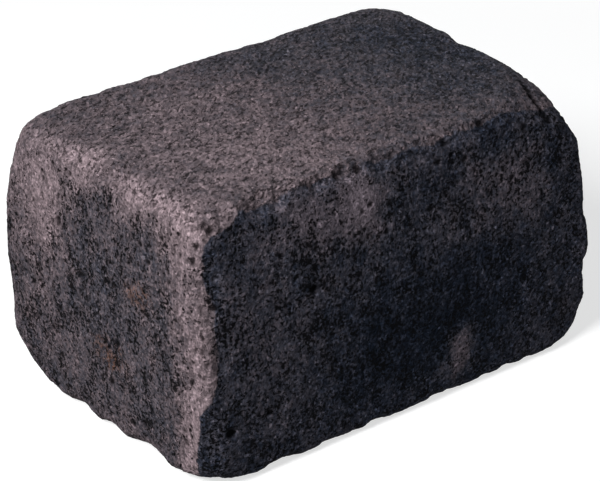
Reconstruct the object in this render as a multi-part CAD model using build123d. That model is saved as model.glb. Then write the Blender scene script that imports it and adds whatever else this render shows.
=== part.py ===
"""A tumbled concrete garden wall block, one solid piece of dry-cast concrete.

The block is pressed in a steel mould as a plain prism, then rolled in a drum until its
corners are knocked off, its arrises are worn round and flakes spall from them.
Frame: millimetres, +Z up, +X along the length, the long face looks along -Y. The origin is
on the bed, under the middle of the block.
"""

import math
import os
from collections import namedtuple

from build123d import *

# Size at mid height, from middle to middle of opposite sides. Sides out of true make the
# whole block about 250 x 165 mm.
LENGTH = 240.0
WIDTH = 160.0
HEIGHT = 136.0

# The four moulded sides, in order round the plan. Turn and lean are how far each is out of
# true, in degrees: turned about the vertical, and leaning inwards towards the top. Brow is
# how far its top arris reaches inwards, as a multiple of how far it reaches down.
Side = namedtuple("Side", "heading distance turn lean brow")
NEAR_END = Side(180.0, LENGTH / 2, 2.9, 2.4, 1.2)
LONG_FACE = Side(270.0, WIDTH / 2, -0.5, 3.1, 0.6)
FAR_END = Side(0.0, LENGTH / 2, -3.4, 4.2, 1.0)
BACK = Side(90.0, WIDTH / 2, 1.0, -0.4, 0.9)
SIDES = (NEAR_END, LONG_FACE, FAR_END, BACK)

# How far each side falls back from its middle at the bed and at the top
BELLY = 2.8

# Radius to which tumbling wears the arrises round the bed and round the top
BED_ARRIS = 6.6
TOP_ARRIS = 8.0

# Plan radius of each vertical corner: at mid height, at the bed and at the top, where a
# corner is knocked rounder. The knock dies away over a reach of height.
Corner = namedtuple("Corner", "middle bed top")
CORNERS = (
    Corner(2.2, 36.0, 14.0),  # near end to long face
    Corner(4.5, 32.0, 62.0),  # long face to far end
    Corner(14.0, 32.0, 19.0),  # far end to back
    Corner(5.5, 48.0, 30.0),  # back to near end
)
KNOCK_REACH = 30.0

# Flakes lost from the arrises: which arris, along which side, how far along it from 0 to 1,
# and the length and depth of the bite. An upright arris is where a side begins, and its
# bites go into that side.
SPALLS = (
    ("top", LONG_FACE, 0.07, 14.0, 2.2),
    ("top", LONG_FACE, 0.17, 30.0, 2.8),
    ("top", LONG_FACE, 0.30, 12.0, 2.2),
    ("top", LONG_FACE, 0.37, 13.0, 2.2),
    ("top", LONG_FACE, 0.47, 20.0, 1.8),
    ("top", LONG_FACE, 0.60, 16.0, 1.6),
    ("top", LONG_FACE, 0.72, 18.0, 1.8),
    ("top", LONG_FACE, 0.90, 18.0, 2.8),
    ("top", NEAR_END, 0.34, 14.0, 1.8),
    ("top", NEAR_END, 0.58, 18.0, 1.8),
    ("top", NEAR_END, 0.80, 13.0, 1.6),
    ("top", FAR_END, 0.55, 26.0, 2.2),
    ("top", BACK, 0.36, 24.0, 2.0),
    ("top", BACK, 0.70, 18.0, 1.6),
    ("upright", LONG_FACE, 0.20, 44.0, 3.4),
    ("upright", LONG_FACE, 0.78, 40.0, 3.8),
    ("upright", FAR_END, 0.30, 26.0, 2.4),
    ("upright", BACK, 0.62, 30.0, 3.0),
    ("bed", LONG_FACE, 0.19, 22.0, 2.2),
    ("bed", LONG_FACE, 0.30, 14.0, 1.8),
    ("bed", LONG_FACE, 0.42, 14.0, 2.0),
    ("bed", LONG_FACE, 0.585, 14.0, 1.4),
    ("bed", LONG_FACE, 0.775, 12.0, 1.2),
    ("bed", NEAR_END, 0.20, 16.0, 1.8),
    ("bed", NEAR_END, 0.36, 22.0, 2.8),
    ("bed", NEAR_END, 0.52, 20.0, 2.4),
    ("bed", NEAR_END, 0.69, 34.0, 3.6),
    ("bed", FAR_END, 0.45, 22.0, 2.4),
    ("bed", BACK, 0.30, 20.0, 2.2),
    ("bed", BACK, 0.68, 28.0, 2.6),
)

# Bands that make up each worn arris, and the wall between them
ARC_BANDS = 6
WALL_BANDS = 8


def side_line(side, z, inset):
    """The side's line in plan at a height: its outward normal, and its distance from the origin."""
    heading, turned = math.radians(side.heading), math.radians(side.heading + side.turn)
    normal = Vector(math.cos(turned), math.sin(turned))
    middle = Vector(math.cos(heading), math.sin(heading)) * side.distance
    above_middle = z - HEIGHT / 2
    leaning = math.tan(math.radians(side.lean)) * above_middle
    falling_back = BELLY * (above_middle / (HEIGHT / 2)) ** 2
    worn = inset * (side.brow if above_middle > 0 else 1.0)
    return normal, normal.dot(middle) - leaning - falling_back - worn


def plan_corner(first, second, z, inset):
    """Where two sides meet in plan at a height."""
    (a, reach_a), (b, reach_b) = side_line(first, z, inset), side_line(second, z, inset)
    across = a.X * b.Y - a.Y * b.X
    return Vector(
        (reach_a * b.Y - reach_b * a.Y) / across, (a.X * reach_b - b.X * reach_a) / across, z
    )


def section(z, inset):
    """One horizontal slice of the block, its corners rounder near the bed and the top."""
    near_top = max(0.0, 1 - (HEIGHT - z) / KNOCK_REACH) ** 2
    near_bed = max(0.0, 1 - z / KNOCK_REACH) ** 2
    points = [plan_corner(SIDES[i], SIDES[(i + 1) % 4], z, inset) for i in range(4)]
    radii = [
        c.middle + (c.top - c.middle) * near_top + (c.bed - c.middle) * near_bed
        for c in CORNERS
    ]
    return make_face(FilletPolyline(*points, radius=radii, close=True))


def levels():
    """Heights of the slices and their insets: two worn arrises, and the wall between them.

    The wall's slices lie closer together near the arrises, where the corners are knocked.
    """
    bed, top = [], []
    for step in range(ARC_BANDS + 1):
        angle = math.radians(90.0 * step / ARC_BANDS)
        rise, run = 1 - math.sin(angle), 1 - math.cos(angle)
        bed.insert(0, (BED_ARRIS * rise, BED_ARRIS * run))
        top.append((HEIGHT - TOP_ARRIS * rise, TOP_ARRIS * run))
    low, high = BED_ARRIS, HEIGHT - TOP_ARRIS
    shares = [(1 - math.cos(math.pi * step / WALL_BANDS)) / 2 for step in range(1, WALL_BANDS)]
    wall = [(low + (high - low) * share, 0.0) for share in shares]
    return bed + wall + top


def arris_point(arris, side, place):
    """A point on a worn arris, and the way out of the block that a flake there came off."""
    i = SIDES.index(side)
    before, after = SIDES[i - 1], SIDES[(i + 1) % 4]
    set_back = math.sqrt(2) - 1
    if arris == "upright":
        z = HEIGHT * place
        slope = (side_line(side, z, 0.0)[0] + side_line(before, z, 0.0)[0] * 0.3).normalized()
        return plan_corner(before, side, z, 0.0) - slope * CORNERS[i - 1].middle * set_back, slope
    z, wear, brow = (HEIGHT, TOP_ARRIS, side.brow) if arris == "top" else (0.0, BED_ARRIS, 1.0)
    start, end = plan_corner(before, side, z, 0.0), plan_corner(side, after, z, 0.0)
    slope = (side_line(side, z, 0.0)[0] + Vector(0, 0, 1 if arris == "top" else -1)).normalized()
    return start + (end - start) * place - slope * wear * (1 + brow) / 2 * set_back, slope


def spall(arris, side, place, length, depth):
    """The round bite that a lost flake leaves in an arris, as the ball that cuts it."""
    surface, slope = arris_point(arris, side, place)
    radius = (length**2 / 4 + depth**2) / (2 * depth)
    return Sphere(radius).moved(Location(surface + slope * (radius - depth)))


def make_block():
    block = loft([section(z, inset) for z, inset in levels()], ruled=True)
    for bite in SPALLS:
        block = block - spall(*bite)
    box = block.bounding_box()
    return block.moved(Location((-box.center().X, -box.center().Y, -box.min.Z)))


block = make_block()
os.makedirs("parts", exist_ok=True)
export_step(block, "parts/concrete_block.step")
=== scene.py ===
"""Dresses a tumbled concrete garden wall block: its relief, its two-colour concrete and a plain studio.

The relief is pressed into a fine mesh of the cast block by Geometry Nodes, from the large
waves of the sides down to sand grain and pores, and the concrete is a procedural material
on object coordinates. Places are millimetres in the block's own frame: +Z up from the bed,
the long face looks along -Y, the near end along -X.
"""

import math
from collections import namedtuple

import bpy
from bpy.props import FloatProperty, FloatVectorProperty, IntProperty, PointerProperty
from mathutils import Matrix, Vector


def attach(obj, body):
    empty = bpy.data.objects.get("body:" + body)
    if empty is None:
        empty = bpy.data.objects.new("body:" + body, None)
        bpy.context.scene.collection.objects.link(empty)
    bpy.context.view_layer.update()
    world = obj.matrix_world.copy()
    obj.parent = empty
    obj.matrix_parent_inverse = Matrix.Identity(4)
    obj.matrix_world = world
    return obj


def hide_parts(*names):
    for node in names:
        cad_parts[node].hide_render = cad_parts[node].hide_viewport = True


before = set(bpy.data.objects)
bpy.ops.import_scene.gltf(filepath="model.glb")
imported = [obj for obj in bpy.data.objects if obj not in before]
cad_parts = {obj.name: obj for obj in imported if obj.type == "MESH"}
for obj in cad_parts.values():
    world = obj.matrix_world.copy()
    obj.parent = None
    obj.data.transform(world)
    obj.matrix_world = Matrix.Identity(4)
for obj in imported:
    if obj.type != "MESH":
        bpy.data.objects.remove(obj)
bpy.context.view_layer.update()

bl_info = {
    "name": "Tumbled Wall Block",
    "version": (1, 0, 0),
    "blender": (4, 5, 0),
    "location": "View3D > Sidebar > Wall Block",
    "description": "Dresses a cast concrete wall block and sets it in a plain studio",
    "category": "Object",
}

MM = 0.001
NODE = "concrete_block"

# The photograph's camera: the way it looks from in degrees, how far off it is, how far it
# stands aside to the right and up, the point that it would turn about, and its lens
VIEW_AZIMUTH = -36.97
VIEW_ELEVATION = 27.60
VIEW_ROLL = -1.04
VIEW_DISTANCE = 1125 * MM
VIEW_ASIDE = (-2.44 * MM, 54.1 * MM)
VIEW_TARGET = Vector((-0.88 * MM, 0.14 * MM, 0))
PHOTO_WIDTH_PX = 600
FOCAL_PX = 2230
SENSOR_WIDTH_MM = 36.0
CLIP_START = 0.05

# The block's height, and its sides as the edges of the colours take them: how far out each
# stands at the bed and how far in it leans by the top, in millimetres
BLOCK_HEIGHT = 136.0
LONG_FACE_OUT, LONG_FACE_LEAN = 81.5, 8.5
NEAR_END_OUT, NEAR_END_LEAN = 116.0, 4.6
FAR_END_OUT, FAR_END_LEAN = 121.0, 10.0

# Heights between which the top arris turns into the top, and places along the block between
# which the near arris turns into the near end
TOP_ARRIS_TURNS = (126.0, 134.0)
NEAR_ARRIS_TURNS = (-104.0, -114.0)

# How far the worn band of the near end falls back at the near corner, in millimetres
FALL_BACK = 2.8

# How far the finished bed clears the floor that it is seen on
BED_GAP = 0.06 * MM

# Round holes that show by themselves: middle, radius and depth, in millimetres
Pit = namedtuple("Pit", "x y z radius depth")
PITS = (
    Pit(-120.5, 30.5, 98.6, 2.2, 2.0),
    Pit(-119.7, -33.0, 17.6, 2.0, 1.8),
    Pit(-53.8, -78.2, 85.2, 2.6, 2.0),
    Pit(-103.3, -80.1, 29.0, 2.8, 2.2),
    Pit(-82.0, -80.3, 32.3, 1.6, 1.8),
    # notches of the long face's top arris
    Pit(-105.5, -73.0, 130.0, 2.6, 1.8),
    Pit(-23.4, -71.6, 134.2, 2.4, 1.4),
    Pit(26.6, -73.2, 132.3, 2.2, 1.5),
    Pit(29.5, -74.9, 126.0, 1.8, 1.4),
    Pit(50.8, -70.1, 134.3, 2.2, 1.4),
    # the groove where the far corner's flake came off
    Pit(98.6, -46.8, 134.2, 1.7, 0.7),
    Pit(96.8, -50.4, 133.9, 2.0, 0.9),
    Pit(95.9, -53.9, 133.5, 2.6, 1.0),
    Pit(94.2, -57.6, 132.9, 2.4, 1.2),
    Pit(93.3, -60.9, 132.4, 3.0, 1.2),
    Pit(91.9, -64.6, 131.2, 2.7, 1.3),
    Pit(91.4, -67.8, 129.6, 2.4, 1.1),
    Pit(91.0, -70.6, 127.9, 2.5, 1.1),
    Pit(91.8, -73.3, 125.3, 2.0, 0.9),
)

# Broad bulges of the cast sides, and hollows (height under 0): middle, radius and height
Bulge = namedtuple("Bulge", "x y z radius height")
BULGES = (
    Bulge(-124, 62, 74, 17, 1.3),
    Bulge(121, -77, 54, 22, 1.4),
    Bulge(113, 18, 132, 16, 1.2),
    Bulge(-119, 72, 112, 22, -1.4),
    Bulge(-122, 72, 45, 19, -1.4),
    Bulge(107, -80, 18, 22, -1.4),
)

# Places where the concrete is paler (tone over 0) or darker (under 0) than about it:
# middle and half widths in millimetres
Patch = namedtuple("Patch", "x y z rx ry rz tone")
END_AND_TOP_PATCHES = (
    # near end
    Patch(-120, 48, 108, 20, 34, 36, 0.41),
    Patch(-115, 13, 133, 15, 18, 14, 0.31),
    Patch(-115, -23, 128, 14, 16, 14, 0.28),
    Patch(-111, -43, 130, 14, 20, 18, 0.22),
    Patch(-106, -62, 128, 20, 16, 24, 0.28),
    Patch(-115, -66, 98, 14, 19, 40, 0.34),
    Patch(-116, -74, 52, 14, 15, 36, 0.42),
    Patch(-117, -70, 14, 14, 16, 36, 0.5),
    Patch(-123, 50, 45, 20, 28, 40, 0.05),
    Patch(-123, -5, 60, 20, 44, 60, -0.05),
    # top
    Patch(-60, 10, 136, 85, 80, 20, 0.31),
    Patch(-60, -55, 136, 60, 20, 14, 0.14),
    Patch(-10, -38, 136, 60, 26, 14, 0.14),
    Patch(20, -64, 136, 100, 14, 14, 0.12),
    Patch(22, 42, 136, 50, 28, 20, -0.04),
    Patch(100, 10, 136, 60, 60, 20, -0.21),
)
FRONT_PATCHES = (
    Patch(-23, -76, 115, 15, 14, 24, 0.50),
    Patch(-50, -76, 118, 30, 14, 18, 0.36),
    Patch(-84, -78, 70, 34, 14, 60, 0.07),
    Patch(20, -70, 132, 150, 16, 12, 0.10),
    Patch(34, -81, 26, 9, 14, 16, 0.62),
    Patch(27, -81, 17, 13, 14, 9, 0.35),
    Patch(20, -81, 42, 80, 16, 44, -0.30),
    Patch(55, -78, 100, 38, 14, 28, 0.24),
    Patch(92, -78, 98, 7, 14, 34, -0.2),
    Patch(58, -74, 128, 16, 12, 9, -0.26),
    Patch(80, -80, 35, 34, 14, 28, 0.04),
)

# The concrete's tone where no patch lies, from 0 (blackest) to 1 (palest), and how much
# darker the long face is
PLAIN_TONE = 0.42
FRONT_TONE = -0.16

# The way the top was struck off the mould, how much longer that makes its grain, and the
# height over which the grain is drawn out
STRIKE_WAY = (0.6, 0.8, 0.0)
STRIKE_DRAW = 1.8
STRUCK_ABOVE = 131.5

# Where iron in the sand has rusted
RUST_SPOTS = (Patch(-121, -9, 44, 12, 14, 9, 1.0), Patch(-119, -32, 84, 12, 6, 10, 0.7))

# How much darker a hole is than the skin where its shadow is painted, how deep the fine grain
# looks, the shine of dry concrete, and the cool cast of the long face's dark pigment
PAINTED_HOLE_SHADOW = 0.93
GRAIN_BUMP = 0.48 * MM
DRY_SHINE = 0.04
COOL_CAST = (0.94, 1.0, 1.07, 1.0)

# Lamps: place and side in metres, watts and colour. The back lamp shows the far sides.
Lamp = namedtuple("Lamp", "name place side watts colour")
LAMPS = (
    Lamp("key", (-1.25, -0.34, 1.25), 0.6, 35.0, (1.0, 1.0, 1.0)),
    Lamp("fill", (-0.5, -1.8, 1.0), 1.4, 0.85, (0.82, 0.92, 1.0)),
    Lamp("back", (1.05, 1.7, 0.3), 0.5, 10.0, (1.0, 1.0, 1.0)),
)
LAMP_AIM = Vector((0, 0, 0.06))

# The room's even light, and the floor: its radius, the greys that the camera and the light
# meet, its glow, and how far from the block it starts and ends to fade to white, in metres
ROOM_COLOUR, ROOM_STRENGTH = (0.86, 0.94, 1.0, 1.0), 0.125
WHITE = (1.0, 1.0, 1.0, 1.0)
FLOOR_RADIUS = 4.0
FLOOR_SEEN = (0.5, 0.5, 0.5, 1.0)
FLOOR_LIT = (0.25, 0.25, 0.25, 1.0)
FLOOR_GLOW = 0.66
FLOOR_FADES = (0.3, 0.8)


class Value:
    """A number on a node's socket, to which arithmetic adds Math nodes."""

    def __init__(self, graph, socket):
        self.graph = graph
        self.socket = socket

    def _math(self, operation, *terms):
        made = self.graph.node("ShaderNodeMath", {"operation": operation}, dict(enumerate(terms)))
        return Value(self.graph, made.outputs[0])

    def __add__(self, other):
        return self._math("ADD", self, other)

    def __radd__(self, other):
        return self._math("ADD", other, self)

    def __sub__(self, other):
        return self._math("SUBTRACT", self, other)

    def __rsub__(self, other):
        return self._math("SUBTRACT", other, self)

    def __mul__(self, other):
        return self._math("MULTIPLY", self, other)

    def __rmul__(self, other):
        return self._math("MULTIPLY", other, self)

    def __truediv__(self, other):
        return self._math("DIVIDE", self, other)

    def __rtruediv__(self, other):
        return self._math("DIVIDE", other, self)

    def above(self, other):
        return self._math("GREATER_THAN", self, other)

    def larger(self, other):
        return self._math("MAXIMUM", self, other)

    def smaller(self, other):
        return self._math("MINIMUM", self, other)

    def absolute(self):
        return self._math("ABSOLUTE", self)

    def ramp(self, low, high):
        """0 at low, 1 at high, with soft ends. High may be under low."""
        made = self.graph.node(
            "ShaderNodeMapRange",
            {"interpolation_type": "SMOOTHSTEP"},
            {"Value": self, "From Min": low, "From Max": high, "To Min": 0.0, "To Max": 1.0},
        )
        return Value(self.graph, made.outputs["Result"])


class Graph:
    """A node tree under construction."""

    def __init__(self, tree):
        self.tree = tree

    def feed(self, socket, value):
        source = value.socket if isinstance(value, Value) else value
        if isinstance(source, bpy.types.NodeSocket):
            self.tree.links.new(source, socket)
        else:
            socket.default_value = source

    def node(self, kind, settings=None, inputs=None):
        """Any node: its type, its settings, and the values or links of its sockets."""
        made = self.tree.nodes.new(kind)
        for name, value in (settings or {}).items():
            if name == "stops":
                self.set_stops(made.color_ramp, value)
            else:
                setattr(made, name, value)
        for key, value in (inputs or {}).items():
            self.feed(made.inputs[key], value)
        return made

    @staticmethod
    def set_stops(ramp, stops):
        while len(ramp.elements) < len(stops):
            ramp.elements.new(1.0)
        for element, (place, colour) in zip(ramp.elements, stops):
            element.position = place
            element.color = (*colour, 1.0)

    def value(self, socket):
        return Value(self, socket)

    def vector(self, operation, *terms, scale=None):
        inputs = dict(enumerate(terms))
        if scale is not None:
            inputs["Scale"] = scale
        made = self.node("ShaderNodeVectorMath", {"operation": operation}, inputs)
        is_number = operation in ("LENGTH", "DISTANCE", "DOT_PRODUCT")
        return made.outputs["Value" if is_number else "Vector"]

    def parts(self, place):
        """The X, Y and Z of a place."""
        split = self.node("ShaderNodeSeparateXYZ", None, {0: place})
        return [self.value(split.outputs[i]) for i in range(3)]

    def joined(self, x, y, z):
        """The place with these three parts."""
        return self.node("ShaderNodeCombineXYZ", None, {0: x, 1: y, 2: z}).outputs[0]

    def mixed(self, factor, first, second, way="MIX"):
        """A colour between two."""
        made = self.node(
            "ShaderNodeMix",
            {"data_type": "RGBA", "blend_type": way},
            {"Factor": factor, "A": first, "B": second},
        )
        return made.outputs["Result"]

    def stored(self, geometry, name, value):
        """The geometry with a number kept under a name at each of its points."""
        made = self.node(
            "GeometryNodeStoreNamedAttribute",
            {"data_type": "FLOAT", "domain": "POINT"},
            {"Geometry": geometry, "Name": name, "Value": value},
        )
        return made.outputs[0]

    def seen(self):
        """1 for what the camera sees, straight or in a shine, and 0 for light on the block."""
        rays = self.node("ShaderNodeLightPath")
        shine = self.value(rays.outputs["Is Glossy Ray"])
        return self.value(rays.outputs["Is Camera Ray"]).larger(shine)

    def noise(self, place, size, detail=2.0, roughness=0.5, stretch=(1, 1, 1)):
        """Noise from -1 to 1 whose lumps are about size across, in the units of place."""
        scaled = self.vector("DIVIDE", place, tuple(size * s for s in stretch))
        made = self.node(
            "ShaderNodeTexNoise",
            {"noise_dimensions": "3D"},
            {"Vector": scaled, "Scale": 1.0, "Detail": detail, "Roughness": roughness},
        )
        return (self.value(made.outputs[0]) - 0.5) * 2.0

    def cells(self, place, size, stretch=(1, 1, 1)):
        """How far the nearest middle of a cell is, and the three numbers of that cell's own."""
        scaled = self.vector("DIVIDE", place, tuple(size * s for s in stretch))
        made = self.node(
            "ShaderNodeTexVoronoi",
            {"voronoi_dimensions": "3D", "feature": "F1"},
            {"Vector": scaled, "Scale": 1.0, "Randomness": 1.0},
        )
        return self.value(made.outputs["Distance"]), self.parts(made.outputs["Color"])

    def pores(self, place, size, share, smallest, largest, uneven=0.35):
        """1 inside a pore and 0 outside: a share of the cells hold one, of its own radius."""
        distance, own = self.cells(place, size)
        radius = (own[0] * (largest - smallest) + smallest) / size
        ragged = distance / radius + self.noise(place, smallest * 1.6, 2.0) * uneven * 2.0
        return ragged.ramp(1.15, 0.7) * own[1].above(1.0 - share)

    def crest(self, z):
        """How far the near corner's crest lies towards the near end (over 0) or the long face."""
        foot = z.ramp(52.0, 38.0) * 8.0 + z.ramp(38.0, 12.0) * 4.0
        middle = z.ramp(46.0, 64.0) * z.ramp(106.0, 88.0) * -6.0
        head = z.ramp(120.0, 133.0) * -11.0
        return foot + middle + head

    def on_top(self, z):
        """1 on the flat top, 0 on the sides."""
        return z.ramp(*TOP_ARRIS_TURNS)

    def on_near_end(self, x):
        """1 on the near end, 0 behind it."""
        return x.ramp(*NEAR_ARRIS_TURNS)

    def front(self, place):
        """1 on the long face and in the bites of its arrises, 0 elsewhere."""
        x, y, z = self.parts(place)
        high = z / BLOCK_HEIGHT
        behind_front = y + LONG_FACE_OUT - high * high * LONG_FACE_LEAN
        behind_near_end = x + NEAR_END_OUT - high * high * high * NEAR_END_LEAN
        before_far_end = FAR_END_OUT - high * high * FAR_END_LEAN - x
        below_top = (BLOCK_HEIGHT - z) * 0.7 + 1.0
        above_bed = z * 3.0 + 1.0
        ragged = self.noise(place, 4.0, 4.0, 0.7) * 2.6 + self.noise(place, 15.0, 2.0) * 4.0
        near_corner = x.ramp(-88.0, -104.0) * self.crest(z)
        nearest = below_top.smaller(behind_near_end).smaller(before_far_end).smaller(above_bed)
        return (nearest - behind_front + ragged + near_corner).ramp(-0.8, 0.8)

    def struck(self, place):
        """The place with the grain of the flat top drawn out the way it was struck off."""
        _, _, z = self.parts(place)
        along = self.value(self.vector("DOT_PRODUCT", place, STRIKE_WAY))
        drawn = along * z.above(STRUCK_ABOVE) * (STRIKE_DRAW - 1.0) / STRIKE_DRAW
        return self.vector("SUBTRACT", place, self.vector("SCALE", STRIKE_WAY, scale=drawn))

    def drag_band(self, place):
        """1 on the worn band of the near end beside the near corner, 0 elsewhere."""
        x, y, _ = self.parts(place)
        return x.ramp(-100.0, -110.0) * (y + self.noise(place, 14.0, 2.0) * 9.0).ramp(-38.0, -54.0)

    def drag_streaks(self, place):
        """Upright scratches, from -1 to 1."""
        return self.noise(place, 2.0, 3.0, 0.6, (1, 1, 7))


class ReliefSettings(bpy.types.PropertyGroup):
    """Sizes of the relief that casting and tumbling leave."""

    mesh_step: FloatProperty(
        name="Mesh Step", description="Spacing of the mesh that takes the relief",
        default=1.0 * MM, min=0.5 * MM, unit="LENGTH", precision=5,
    )
    triangles: IntProperty(
        name="Triangles", description="Triangles left in the finished mesh", default=194000, min=1000
    )
    wave: FloatProperty(
        name="Wave", description="Height of the broad waves of the sides", default=0.5 * MM,
        unit="LENGTH", precision=5,
    )
    lump: FloatProperty(
        name="Lump", description="Height of the small lumps", default=0.45 * MM,
        unit="LENGTH", precision=5,
    )
    crumble: FloatProperty(
        name="Crumble", description="Depth to which the arrises crumble", default=1.4 * MM,
        unit="LENGTH", precision=5,
    )
    notch: FloatProperty(
        name="Notch", description="Depth of the small notches in the long face's top arris",
        default=1.0 * MM, unit="LENGTH", precision=5,
    )
    grain: FloatProperty(
        name="Grain", description="Height of the sand grains", default=0.26 * MM,
        unit="LENGTH", precision=5,
    )
    pore: FloatProperty(
        name="Pore", description="Depth of the pores", default=0.5 * MM,
        unit="LENGTH", precision=5,
    )


class ConcreteSettings(bpy.types.PropertyGroup):
    """Colours of the concrete, from its darkest stain to the palest worn sand."""

    blackest: FloatVectorProperty(
        name="Blackest", description="Deepest stain", subtype="COLOR", size=3,
        default=(0.006, 0.008, 0.013),
    )
    charcoal: FloatVectorProperty(
        name="Charcoal", description="Dark pigment", subtype="COLOR", size=3,
        default=(0.022, 0.024, 0.034),
    )
    grey: FloatVectorProperty(
        name="Grey", description="Where the pigments mix", subtype="COLOR", size=3,
        default=(0.055, 0.05, 0.06),
    )
    heather: FloatVectorProperty(
        name="Heather", description="Pinkish pigment", subtype="COLOR", size=3,
        default=(0.118, 0.092, 0.101),
    )
    rust: FloatVectorProperty(
        name="Rust", description="Rusted iron in the sand", subtype="COLOR", size=3,
        default=(0.12, 0.06, 0.04),
    )
    pale: FloatVectorProperty(
        name="Pale", description="Worn pale sand", subtype="COLOR", size=3,
        default=(0.25, 0.19, 0.205),
    )


def sand_grains(g, place):
    """Round grains, from 0 between them to 1 on the largest."""
    away, own = g.cells(place, 2.3)
    return (1.0 - away * away * 1.6) * (own[0] * 0.6 + 0.4)


def crumbled(g, place, wear, rough):
    """1 where an arris has crumbled away, 0 where it is sound."""
    x, _, z = g.parts(place)
    broken = g.noise(place, 8.0, 4.0, 0.65)
    away, own = g.cells(g.vector("ADD", place, (7.0, 3.0, 5.0)), 12.0)
    bite = (away + rough * 0.25).ramp(0.55, 0.3) * own[0].above(0.45)
    upright = 1.0 - z.ramp(100.0, 126.0)
    sounder = 1.0 - upright * g.on_near_end(x) * 0.6
    return wear * (broken.ramp(0.0, 0.35) * 0.6 + bite * 0.8) * sounder


def pocked(g, place, notches):
    """1 at the bottom of a pore, a gap in the sand or a notch, 0 outside."""
    x, _, z = g.parts(place)
    on_top = g.on_top(z)
    coarse = g.pores(place, 7.5, 0.35, 1.0, 2.0) * (1.0 - on_top * 0.7)
    small = g.pores(place, 4.0, 0.35, 0.7, 1.2) * (1.0 - on_top * 0.6)
    gaps = g.noise(place, 4.2, 3.0, 0.65) - 0.26 - on_top * 0.2 + g.on_near_end(x) * 0.06
    return coarse.larger(small * 0.8).larger(gaps.ramp(0.0, 0.16) * 0.8).larger(notches * 0.7)


def relief_offset(g, place, normal, wear, size):
    """How far each point moves, and how far down a hole it then lies, from 0 to 1."""
    x, y, z = g.parts(place)
    waves = g.noise(place, 45.0, 2.0)
    lumps = g.noise(place, 12.0, 3.0, 0.6)
    rough = g.noise(place, 3.4, 2.0, 0.6)
    on_brow = z.ramp(112.0, 124.0) * y.ramp(-58.0, -66.0)
    notches = (g.noise(place, 6.0, 4.0, 0.75) - 0.08).ramp(0.0, 0.22) * wear * on_brow
    hollow = pocked(g, place, notches)
    streaks = g.drag_band(place) * g.drag_streaks(place)
    height = waves * size["Wave"] + lumps * size["Lump"] + rough * size["Grain"]
    height = height + (sand_grains(g, place) - 0.6) * size["Grain"] + streaks * size["Grain"] * 1.4
    height = height - crumbled(g, place, wear, rough) * size["Crumble"]
    height = height - hollow * size["Pore"] - notches * size["Notch"]
    for bulge in BULGES:
        away = g.value(g.vector("DISTANCE", place, (bulge.x, bulge.y, bulge.z)))
        height = height + (away + lumps * 3.0).ramp(bulge.radius, 0.0) * (bulge.height * MM)
    for pit in PITS:
        away = g.value(g.vector("DISTANCE", place, (pit.x, pit.y, pit.z)))
        inside = (away + rough * 1.2).ramp(pit.radius * 1.2, pit.radius * 0.6)
        height = height - inside * (pit.depth * MM)
        hollow = hollow.larger(inside)
    depth = (1.0 - g.crest(z).ramp(-6.0, 6.0)) * 0.8 + 0.2 + lumps * 0.5
    worn_back = y.ramp(-52.0, -86.0) * g.on_near_end(x) * depth * (FALL_BACK * MM)
    outwards = g.vector("SCALE", normal, scale=height)
    return g.vector("ADD", outwards, g.joined(worn_back, 0.0, 0.0)), hollow


def relief_tree():
    """The Geometry Nodes that press the relief into the block."""
    tree = bpy.data.node_groups.new("block_relief", "GeometryNodeTree")
    sockets = {}
    tree.interface.new_socket("Block", in_out="INPUT", socket_type="NodeSocketGeometry")
    for name in ("Wave", "Lump", "Crumble", "Notch", "Grain", "Pore"):
        sockets[name] = tree.interface.new_socket(name, in_out="INPUT", socket_type="NodeSocketFloat")
    finish = tree.interface.new_socket("Concrete", in_out="INPUT", socket_type="NodeSocketMaterial")
    tree.interface.new_socket("Block", in_out="OUTPUT", socket_type="NodeSocketGeometry")
    g = Graph(tree)
    given = g.node("NodeGroupInput")
    size = {name: g.value(given.outputs[name]) for name in sockets}
    place = g.vector("SCALE", g.node("GeometryNodeInputPosition").outputs[0], scale=1 / MM)
    normal = g.node("GeometryNodeInputNormal").outputs["Normal"]

    along = [part.absolute() for part in g.parts(normal)]
    turned_away = 1.0 - along[0].larger(along[1]).larger(along[2])
    spread = g.node(
        "GeometryNodeBlurAttribute",
        {"data_type": "FLOAT"},
        {"Value": turned_away.ramp(0.02, 0.2), "Iterations": 14},
    )
    marked = g.stored(given.outputs["Block"], "wear", spread.outputs[0])
    kept = g.node("GeometryNodeInputNamedAttribute", {"data_type": "FLOAT"}, {"Name": "wear"})
    wear = g.value(kept.outputs["Attribute"])

    offset, hollow = relief_offset(g, place, normal, wear, size)
    # the depth in a hole, kept for the material, which paints shadow in the holes by it
    hollowed = g.stored(marked, "hollow", hollow)
    pressed = g.node("GeometryNodeSetPosition", None, {"Geometry": hollowed, "Offset": offset})
    x, y, z = g.parts(g.node("GeometryNodeInputPosition").outputs[0])
    bedded = g.node(
        "GeometryNodeSetPosition",
        None,
        {"Geometry": pressed.outputs[0], "Position": g.joined(x, y, z.larger(BED_GAP))},
    )
    real = g.node("GeometryNodeRealizeInstances", None, {0: bedded.outputs[0]})
    finished = g.node(
        "GeometryNodeSetMaterial",
        None,
        {"Geometry": real.outputs[0], "Material": given.outputs["Concrete"]},
    )
    end = g.node("NodeGroupOutput")
    g.feed(end.inputs["Block"], finished.outputs[0])
    return tree, sockets, finish


def cleared_graph(owner):
    """The emptied node tree of a new material or world."""
    owner.use_nodes = True
    owner.node_tree.nodes.clear()
    return Graph(owner.node_tree)


def wandering(g, place):
    """The place shifted about, so that the edges of the patches wander."""
    drift = g.node("ShaderNodeTexNoise", None, {
        "Vector": g.vector("DIVIDE", place, (16.0,) * 3), "Scale": 1.0, "Detail": 4.0
    })
    shift = g.vector("SUBTRACT", drift.outputs["Color"], (0.5, 0.5, 0.5))
    return g.vector("ADD", place, g.vector("SCALE", shift, scale=26.0))


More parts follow.
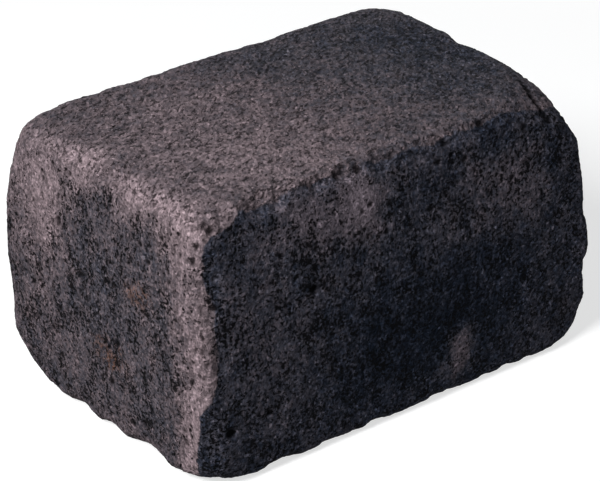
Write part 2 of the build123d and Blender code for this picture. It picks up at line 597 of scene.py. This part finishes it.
def patchwork(g, place, patches):
    """The tones of the patches about a place, laid over each other."""
    total = 0.0
    for patch in patches:
        from_middle = g.vector("SUBTRACT", place, (patch.x, patch.y, patch.z))
        inside = g.vector("LENGTH", g.vector("DIVIDE", from_middle, (patch.rx, patch.ry, patch.rz)))
        total = g.value(inside).ramp(1.3, 0.1) * patch.tone + total
    return total


def shadowed(g, place, struck, rugged, on_top, hollow):
    """Where shadow is painted, and where the bump sinks: 1 inside pits, voids, pores and the crevices
    of the top, 0 on the skin.
    """
    cluster = g.noise(place, 8.0, 2.0, 0.6, (1, 1, 1.8))
    pits = g.noise(struck, 1.65, 3.0, 0.65) - 0.34 + rugged * 0.24 + cluster * (0.14 + rugged * 0.3)
    crevices = g.noise(struck, 1.5, 3.0, 0.65, (1.5, 1, 1)) - 0.13
    voids = g.noise(place, 3.4, 4.0, 0.7, (1, 1, 1.4)) - 0.42 + rugged * 0.2 + cluster * 0.1
    pores = g.pores(place, 4.5, 0.4, 0.5, 1.1) * (1.0 - on_top * 0.6)
    lines = crevices.ramp(0.0, 0.09) * on_top * 0.8
    open_holes = pits.ramp(0.0, 0.07).larger(voids.ramp(0.0, 0.08))
    return open_holes.larger(lines).larger(pores).larger(hollow)


def concrete_material(colours):
    """Two-colour dry-cast concrete: stains, worn pale sand, grains, rust specks, and shadow painted
    into its pores, pits and crevices.
    """
    material = bpy.data.materials.new("concrete")
    g = cleared_graph(material)
    place = g.vector("SCALE", g.node("ShaderNodeTexCoord").outputs["Object"], scale=1 / MM)
    wear = g.value(g.node("ShaderNodeAttribute", {"attribute_name": "wear"}).outputs["Fac"])
    # the depth in a hole from the relief, by which shadow is painted into the holes below
    hollow = g.value(g.node("ShaderNodeAttribute", {"attribute_name": "hollow"}).outputs["Fac"])
    warped = wandering(g, place)
    struck = g.struck(place)
    front = g.front(place)
    _, _, z = g.parts(place)
    on_top = g.on_top(z)

    # how pale the concrete is, where it is rugged and where it is dark
    cloud = g.noise(place, 50.0, 3.0) * 0.16 + g.noise(place, 9.0, 4.0, 0.65, (1, 1, 1.8)) * 0.32
    tone = cloud + PLAIN_TONE + patchwork(g, warped, END_AND_TOP_PATCHES) * (1.0 - front)
    tone = tone + (patchwork(g, warped, FRONT_PATCHES) + FRONT_TONE) * front
    tone = tone + wear * 0.12 * (1.0 - front)
    worn = tone.ramp(0.5, 0.9)
    rugged = (1.0 - on_top) * (1.0 - worn * 0.8)
    tone = tone + rugged * (0.08 - front * 0.02)
    dark = tone.ramp(0.5, 0.2)

    # colour: stains, rust and the cool cast
    _, own = g.cells(struck, 1.2)
    fine = g.noise(struck, 1.1, 2.0, 0.6)
    mottle = g.noise(struck, 3.0, 3.0, 0.65)
    tone = tone + (own[2] - 0.5) * 0.2 + mottle * (0.24 - on_top * 0.1)
    stained = g.node(
        "ShaderNodeValToRGB",
        {"stops": [
            (0.0, colours.blackest), (0.2, colours.charcoal), (0.42, colours.grey),
            (0.68, colours.heather), (1.0, colours.pale),
        ]},
        {"Fac": tone},
    ).outputs["Color"]
    rusting = patchwork(g, warped, RUST_SPOTS) * g.noise(place, 2.4, 3.0, 0.7).ramp(-0.12, 0.15)
    rusty = g.mixed(rusting * 0.85, stained, (*colours.rust, 1.0))
    cooled = g.mixed(front, rusty, COOL_CAST, "MULTIPLY")

    # light and dark of the grains, and the shadow painted in the holes
    streaks = g.drag_band(place) * g.drag_streaks(place)
    grain = (own[0] - 0.5) * (0.75 + dark * 0.75) + 1.0
    grain = grain * (1.0 + fine * (0.8 + dark * 0.6)) * (1.0 + mottle * (0.5 - on_top * 0.3))
    grain = grain * (1.0 + own[1].ramp(0.9, 0.94) * (0.4 + dark * 0.5)) * (1.0 + streaks * 0.7)
    holes = shadowed(g, place, struck, rugged, on_top, hollow)
    # the grain's own light and dark, times the shadow painted into the holes
    grain_and_painted_shadow = grain * (1.05 + rugged * 0.1 + on_top * 0.1) * (1.0 - holes * PAINTED_HOLE_SHADOW)

    bump_height = own[0] * 0.3 + fine * 0.5 + mottle * 0.8 + streaks - holes * 1.9
    bump = g.node("ShaderNodeBump", None, {
        "Strength": 1.0, "Distance": GRAIN_BUMP, "Height": bump_height * (1.0 + on_top * 0.4)
    })
    surface = g.node("ShaderNodeBsdfPrincipled", None, {
        "Base Color": g.vector("SCALE", cooled, scale=grain_and_painted_shadow), "Roughness": 0.86 + fine * 0.08,
        "Specular IOR Level": DRY_SHINE, "Normal": bump.outputs["Normal"],
    })
    end = g.node("ShaderNodeOutputMaterial")
    g.feed(end.inputs["Surface"], surface.outputs[0])
    return material


def cast_copy():
    """A welded copy of the block's own mesh, for the relief to be pressed into."""
    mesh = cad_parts[NODE].data.copy()
    mesh.name = "dressed_block"
    mesh.materials.clear()
    block = bpy.data.objects.new("dressed_block", mesh)
    bpy.context.scene.collection.objects.link(block)
    weld = block.modifiers.new("weld", "WELD")
    weld.merge_threshold = 0.01 * MM
    return block


def press_relief(block, relief, material):
    """Gives the block its fine mesh and its relief, and leaves it a plain mesh."""
    step = block.modifiers.new("fine_mesh", "REMESH")
    step.mode = "VOXEL"
    step.voxel_size = relief.mesh_step
    step.use_smooth_shade = True
    tree, sockets, finish = relief_tree()
    pressing = block.modifiers.new("relief", "NODES")
    pressing.node_group = tree
    for name, value in (
        ("Wave", relief.wave), ("Lump", relief.lump), ("Crumble", relief.crumble),
        ("Notch", relief.notch), ("Grain", relief.grain), ("Pore", relief.pore),
    ):
        pressing[sockets[name].identifier] = value
    pressing[finish.identifier] = material
    fine = bpy.data.meshes.new_from_object(
        block.evaluated_get(bpy.context.evaluated_depsgraph_get())
    )
    block.modifiers.clear()
    block.data = fine
    thin = block.modifiers.new("thin", "DECIMATE")
    thin.ratio = min(1.0, relief.triangles / (2 * len(fine.polygons)))
    thinned = bpy.data.meshes.new_from_object(
        block.evaluated_get(bpy.context.evaluated_depsgraph_get())
    )
    block.modifiers.clear()
    block.data = thinned
    block.data.name = "dressed_block"


class WALLBLOCK_OT_body(bpy.types.Operator):
    """Make the dressed concrete block"""

    bl_idname = "wallblock.body"
    bl_label = "Make the Block"

    def execute(self, context):
        scene = context.scene
        material = concrete_material(scene.wallblock_concrete)
        block = cast_copy()
        press_relief(block, scene.wallblock_relief, material)
        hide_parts(NODE)
        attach(block, "root")
        return {"FINISHED"}


def camera_axes():
    """The camera's right, up and back directions, turned by its roll."""
    azimuth, elevation, roll = (math.radians(a) for a in (VIEW_AZIMUTH, VIEW_ELEVATION, VIEW_ROLL))
    level = math.cos(elevation)
    back = Vector((math.sin(azimuth) * level, -math.cos(azimuth) * level, math.sin(elevation)))
    right = Vector((math.cos(azimuth), math.sin(azimuth), 0))
    up = back.cross(right)
    rolled_right = right * math.cos(roll) + up * math.sin(roll)
    rolled_up = up * math.cos(roll) - right * math.sin(roll)
    return rolled_right, rolled_up, back


def add_camera(scene):
    """The camera that took the photograph."""
    right, up, back = camera_axes()
    data = bpy.data.cameras.new("camera")
    data.sensor_width = SENSOR_WIDTH_MM
    data.lens = FOCAL_PX * SENSOR_WIDTH_MM / PHOTO_WIDTH_PX
    data.clip_start = CLIP_START
    camera = bpy.data.objects.new("camera", data)
    place = VIEW_TARGET + back * VIEW_DISTANCE + right * VIEW_ASIDE[0] + up * VIEW_ASIDE[1]
    camera.matrix_world = Matrix.Translation(place) @ Matrix((right, up, back)).transposed().to_4x4()
    scene.collection.objects.link(camera)
    scene.camera = camera


def add_lamp(scene, lamp):
    """A soft square lamp that looks at the block's middle."""
    data = bpy.data.lights.new(lamp.name, "AREA")
    data.shape = "SQUARE"
    data.size = lamp.side
    data.energy = lamp.watts
    data.color = lamp.colour
    made = bpy.data.objects.new(lamp.name, data)
    place = Vector(lamp.place)
    turn = (LAMP_AIM - place).to_track_quat("-Z", "Y").to_matrix().to_4x4()
    made.matrix_world = Matrix.Translation(place) @ turn
    scene.collection.objects.link(made)


def floor_material():
    """A pale floor that the camera sees nearly white, and that throws little light back."""
    material = bpy.data.materials.new("floor")
    g = cleared_graph(material)
    away = g.value(g.vector("LENGTH", g.node("ShaderNodeTexCoord").outputs["Object"]))
    pale = g.node("ShaderNodeBsdfPrincipled", None, {
        "Base Color": FLOOR_SEEN, "Roughness": 1.0, "Specular IOR Level": 0.0,
        "Emission Color": WHITE, "Emission Strength": FLOOR_GLOW,
    })
    dull = g.node("ShaderNodeBsdfDiffuse", None, {"Color": FLOOR_LIT})
    white = g.node("ShaderNodeEmission", None, {"Color": WHITE, "Strength": 1.0})
    faded = g.node("ShaderNodeMixShader", None, {
        0: away.ramp(*FLOOR_FADES), 1: pale.outputs[0], 2: white.outputs[0]
    })
    both = g.node("ShaderNodeMixShader", None, {0: g.seen(), 1: dull.outputs[0], 2: faded.outputs[0]})
    end = g.node("ShaderNodeOutputMaterial")
    g.feed(end.inputs["Surface"], both.outputs[0])
    return material


def add_floor():
    """The round floor that keeps the block's shadow."""
    bpy.ops.mesh.primitive_circle_add(vertices=96, radius=FLOOR_RADIUS, fill_type="NGON")
    floor = bpy.context.object
    floor.name = "floor"
    floor.data.materials.append(floor_material())


def light_world(scene):
    """A plain room that fills the shadows, white where the camera looks past the floor."""
    world = bpy.data.worlds.new("room")
    g = cleared_graph(world)
    fill = g.node("ShaderNodeBackground", None, {"Color": ROOM_COLOUR, "Strength": ROOM_STRENGTH})
    white = g.node("ShaderNodeBackground", None, {"Color": WHITE, "Strength": 1.0})
    both = g.node("ShaderNodeMixShader", None, {0: g.seen(), 1: fill.outputs[0], 2: white.outputs[0]})
    end = g.node("ShaderNodeOutputWorld")
    g.feed(end.inputs["Surface"], both.outputs[0])
    scene.world = world


class WALLBLOCK_OT_stage(bpy.types.Operator):
    """Set the camera, the lamps and the floor"""

    bl_idname = "wallblock.stage"
    bl_label = "Set the Stage"

    def execute(self, context):
        scene = context.scene
        scene.view_settings.view_transform = "Standard"
        add_camera(scene)
        for lamp in LAMPS:
            add_lamp(scene, lamp)
        add_floor()
        light_world(scene)
        return {"FINISHED"}


class WALLBLOCK_PT_panel(bpy.types.Panel):
    """Sizes, colours and buttons of the wall block"""

    bl_idname = "WALLBLOCK_PT_panel"
    bl_label = "Wall Block"
    bl_space_type = "VIEW_3D"
    bl_region_type = "UI"
    bl_category = "Wall Block"

    def draw(self, context):
        for settings in (context.scene.wallblock_relief, context.scene.wallblock_concrete):
            for name in settings.__annotations__:
                self.layout.prop(settings, name)
        self.layout.operator("wallblock.body")
        self.layout.operator("wallblock.stage")


CLASSES = (ReliefSettings, ConcreteSettings, WALLBLOCK_OT_body, WALLBLOCK_OT_stage, WALLBLOCK_PT_panel)


def register():
    for each in CLASSES:
        bpy.utils.register_class(each)
    bpy.types.Scene.wallblock_relief = PointerProperty(type=ReliefSettings)
    bpy.types.Scene.wallblock_concrete = PointerProperty(type=ConcreteSettings)


def unregister():
    del bpy.types.Scene.wallblock_concrete
    del bpy.types.Scene.wallblock_relief
    for each in reversed(CLASSES):
        bpy.utils.unregister_class(each)


def main():
    register()
    bpy.ops.wallblock.body()
    bpy.ops.wallblock.stage()


if __name__ == "__main__":
    main()
